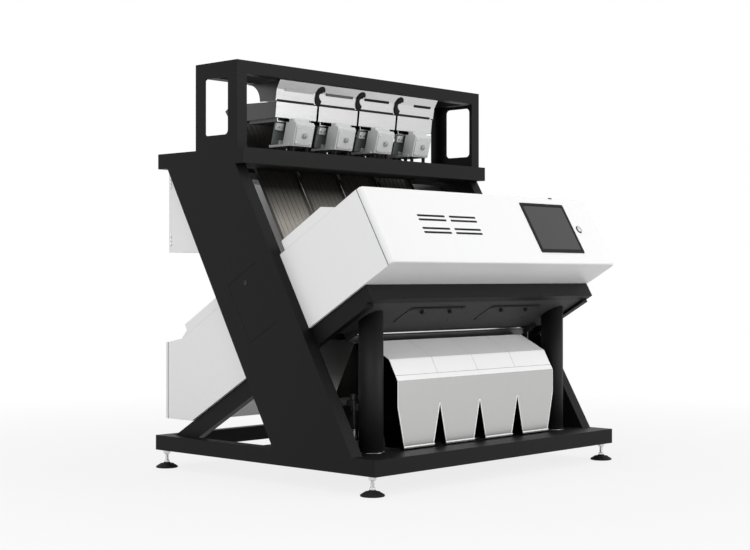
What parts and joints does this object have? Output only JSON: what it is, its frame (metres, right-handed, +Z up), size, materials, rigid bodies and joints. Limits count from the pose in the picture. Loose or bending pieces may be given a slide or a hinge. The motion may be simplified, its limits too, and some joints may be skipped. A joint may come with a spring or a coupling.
{
  "type": "rice sorting machine",
  "caption": "Optical rice sorter: leaning black columns carry a feeder gantry, chutes, white camera boxes with a touch screen door, and tapered stainless outlet spouts.",
  "frame": {"origin": "centre of the overall footprint, on the floor", "axes": "+X to the operator's right, +Y from the operator's side to the back, +Z up"},
  "size_m": [1.79, 1.5135, 1.918],
  "materials": {
    "black_frame": "satin black powder coat",
    "white_panel": "smooth white powder coat",
    "stainless": "polished stainless sheet",
    "bright_steel": "bright plated steel",
    "foot_rubber": "matt black rubber",
    "cabinet_steel": "zinc plated steel",
    "black_plastic": "matt black plastic",
    "wiper_plastic": "dark grey plastic",
    "screen_glass": "dark glossy display",
    "grey_casting": "light grey painted casting",
    "spring_laminate": "green grey glass laminate",
    "window_glass": "clear glass",
    "lamp_aluminium": "anodised aluminium",
    "chute_aluminium": "hard anodised aluminium"
  },
  "bodies": {
    "frame": {"foot_pads": "foot_rubber", "levelling_screws": "bright_steel", "base_side_rails": "black_frame", "base_cross_beams": "black_frame", "base_deck": "black_frame", "column_left": "black_frame", "column_right": "black_frame", "diagonal_braces": "black_frame", "head_beams": "black_frame", "support_posts": "black_frame", "chamber_floor": "black_frame", "sample_hatches": "black_frame", "outlet_spout_1": "stainless", "outlet_spout_2": "stainless", "outlet_spout_3": "stainless", "outlet_spout_4": "stainless", "rear_outlet_hopper": "stainless", "front_box_shell": "white_panel", "rear_box_shell": "white_panel", "cabinet_shell": "white_panel", "platform_beams": "black_frame", "gantry_ends": "black_frame", "gantry_beams": "black_frame", "chute_1": "chute_aluminium", "chute_2": "chute_aluminium", "chute_3": "chute_aluminium", "chute_4": "chute_aluminium", "cross_rails": "cabinet_steel", "inlet_hopper": "stainless", "hopper_clips": "black_plastic", "vibrator_housings": "grey_casting", "vibrator_covers": "grey_casting", "leaf_springs": "spring_laminate", "feeder_base_plates": "cabinet_steel", "feeder_buffers": "foot_rubber", "sorting_windows": "window_glass", "led_bars": "lamp_aluminium", "line_cameras": "black_plastic", "ejector_manifold": "lamp_aluminium", "air_regulator": "grey_casting"},
    "front_door": {"front_door": "white_panel", "touch_screen": "screen_glass"},
    "door_lock": {"door_lock": "bright_steel"},
    "front_lid": {"front_lid": "white_panel"},
    "rear_door": {"rear_door": "white_panel"},
    "rear_lid": {"rear_lid": "white_panel"},
    "cabinet_door_left": {"cabinet_door_left": "white_panel"},
    "cabinet_door_right": {"cabinet_door_right": "white_panel"},
    "access_door_left": {"access_door_left": "black_frame"},
    "access_door_right": {"access_door_right": "black_frame"},
    "splitter": {"splitter": "stainless"},
    "window_wiper": {"window_wiper": "wiper_plastic"},
    "feeder_tray_1": {"feeder_tray_1": "stainless"},
    "vibrator_knob_1": {"vibrator_knob_1": "black_plastic"},
    "feeder_tray_2": {"feeder_tray_2": "stainless"},
    "vibrator_knob_2": {"vibrator_knob_2": "black_plastic"},
    "feeder_tray_3": {"feeder_tray_3": "stainless"},
    "vibrator_knob_3": {"vibrator_knob_3": "black_plastic"},
    "feeder_tray_4": {"feeder_tray_4": "stainless"},
    "vibrator_knob_4": {"vibrator_knob_4": "black_plastic"}
  },
  "joints": [
    {"name": "front_door_hinge", "type": "hinge", "parent": "frame", "child": "front_door", "pos_m": [0, -0.54779, 1.29656], "axis": [-1, 0, 0], "range_deg": [0, 75]},
    {"name": "door_lock_turn", "type": "hinge", "parent": "front_door", "child": "door_lock", "pos_m": [0.65, -0.66035, 1.15601], "axis": [0, -0.866, 0.5], "range_deg": [0, 90]},
    {"name": "front_lid_hinge", "type": "hinge", "parent": "frame", "child": "front_lid", "pos_m": [0, -0.41959, 1.22301], "axis": [1, 0, 0], "range_deg": [0, 80]},
    {"name": "rear_door_hinge", "type": "hinge", "parent": "frame", "child": "rear_door", "pos_m": [0, 0.72015, 0.605], "axis": [1, 0, 0], "range_deg": [0, 80]},
    {"name": "rear_lid_hinge", "type": "hinge", "parent": "frame", "child": "rear_lid", "pos_m": [0, 0.61011, 0.62851], "axis": [-1, 0, 0], "range_deg": [0, 80]},
    {"name": "cabinet_door_left_hinge", "type": "hinge", "parent": "frame", "child": "cabinet_door_left", "pos_m": [-0.823, 0.69715, 1.24], "axis": [0, 0, 1], "range_deg": [0, 110]},
    {"name": "cabinet_door_right_hinge", "type": "hinge", "parent": "frame", "child": "cabinet_door_right", "pos_m": [0.823, 0.69715, 1.24], "axis": [0, 0, -1], "range_deg": [0, 110]},
    {"name": "access_door_left_hinge", "type": "hinge", "parent": "frame", "child": "access_door_left", "pos_m": [-0.875, -0.04424, 0.86034], "axis": [0, 0.5, 0.866], "range_deg": [0, 110]},
    {"name": "access_door_right_hinge", "type": "hinge", "parent": "frame", "child": "access_door_right", "pos_m": [0.875, -0.04424, 0.86034], "axis": [0, -0.5, -0.866], "range_deg": [0, 110]},
    {"name": "splitter_turn", "type": "hinge", "parent": "frame", "child": "splitter", "pos_m": [0, -0.33065, 0.663], "axis": [1, 0, 0], "range_deg": [-8, 8]},
    {"name": "wiper_slide", "type": "slide", "parent": "frame", "child": "window_wiper", "axis": [1, 0, 0], "range_m": [-0.56, 0.56]},
    {"name": "tray_1_shake", "type": "slide", "parent": "frame", "child": "feeder_tray_1", "axis": [0, 0.9659, 0.2588], "range_m": [-0.0015, 0.0015], "stiffness_N_per_m": 20000},
    {"name": "knob_1_turn", "type": "hinge", "parent": "frame", "child": "vibrator_knob_1", "pos_m": [-0.429, 0.18052, 1.6006], "axis": [0, -0.9659, -0.2588], "range_deg": [-135, 135]},
    {"name": "tray_2_shake", "type": "slide", "parent": "frame", "child": "feeder_tray_2", "axis": [0, 0.9659, 0.2588], "range_m": [-0.0015, 0.0015], "stiffness_N_per_m": 20000},
    {"name": "knob_2_turn", "type": "hinge", "parent": "frame", "child": "vibrator_knob_2", "pos_m": [-0.143, 0.18052, 1.6006], "axis": [0, -0.9659, -0.2588], "range_deg": [-135, 135]},
    {"name": "tray_3_shake", "type": "slide", "parent": "frame", "child": "feeder_tray_3", "axis": [0, 0.9659, 0.2588], "range_m": [-0.0015, 0.0015], "stiffness_N_per_m": 20000},
    {"name": "knob_3_turn", "type": "hinge", "parent": "frame", "child": "vibrator_knob_3", "pos_m": [0.143, 0.18052, 1.6006], "axis": [0, -0.9659, -0.2588], "range_deg": [-135, 135]},
    {"name": "tray_4_shake", "type": "slide", "parent": "frame", "child": "feeder_tray_4", "axis": [0, 0.9659, 0.2588], "range_m": [-0.0015, 0.0015], "stiffness_N_per_m": 20000},
    {"name": "knob_4_turn", "type": "hinge", "parent": "frame", "child": "vibrator_knob_4", "pos_m": [0.429, 0.18052, 1.6006], "axis": [0, -0.9659, -0.2588], "range_deg": [-135, 135]}
  ]
}
